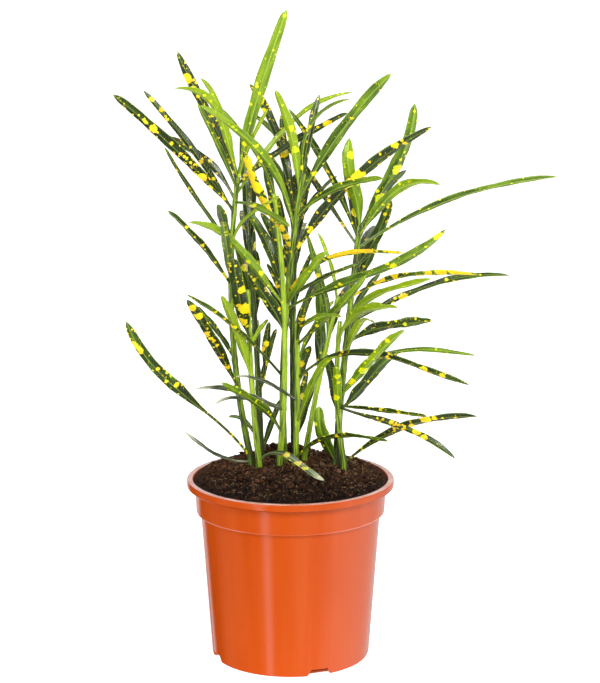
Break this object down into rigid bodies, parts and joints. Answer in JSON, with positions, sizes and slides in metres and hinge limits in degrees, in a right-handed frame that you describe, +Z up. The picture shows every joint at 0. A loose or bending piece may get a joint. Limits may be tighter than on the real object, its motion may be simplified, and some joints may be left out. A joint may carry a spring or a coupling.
{
  "type": "potted croton",
  "caption": "Croton houseplant with upright leafy stems and narrow gold-flecked leaves, growing in a round plastic nursery pot.",
  "frame": {"origin": "on the pot's axis, on the flat underside that the pot stands on", "axes": "+Z up along the pot's axis, -Y toward the front of the plant, +X to the right seen from the front"},
  "size_m": [0.2677, 0.1604, 0.4055],
  "materials": {
    "pot": "gloss",
    "soil": "matte",
    "foliage": "satin"
  },
  "bodies": {
    "root": {"pot": "pot", "soil": "soil", "leafy_stem_01": "foliage", "leafy_stem_02": "foliage", "leafy_stem_03": "foliage", "leafy_stem_04": "foliage", "leafy_stem_05": "foliage", "leafy_stem_06": "foliage", "leafy_stem_07": "foliage", "leafy_stem_08": "foliage", "leafy_stem_09": "foliage", "leafy_stem_10": "foliage"}
  },
  "joints": []
}
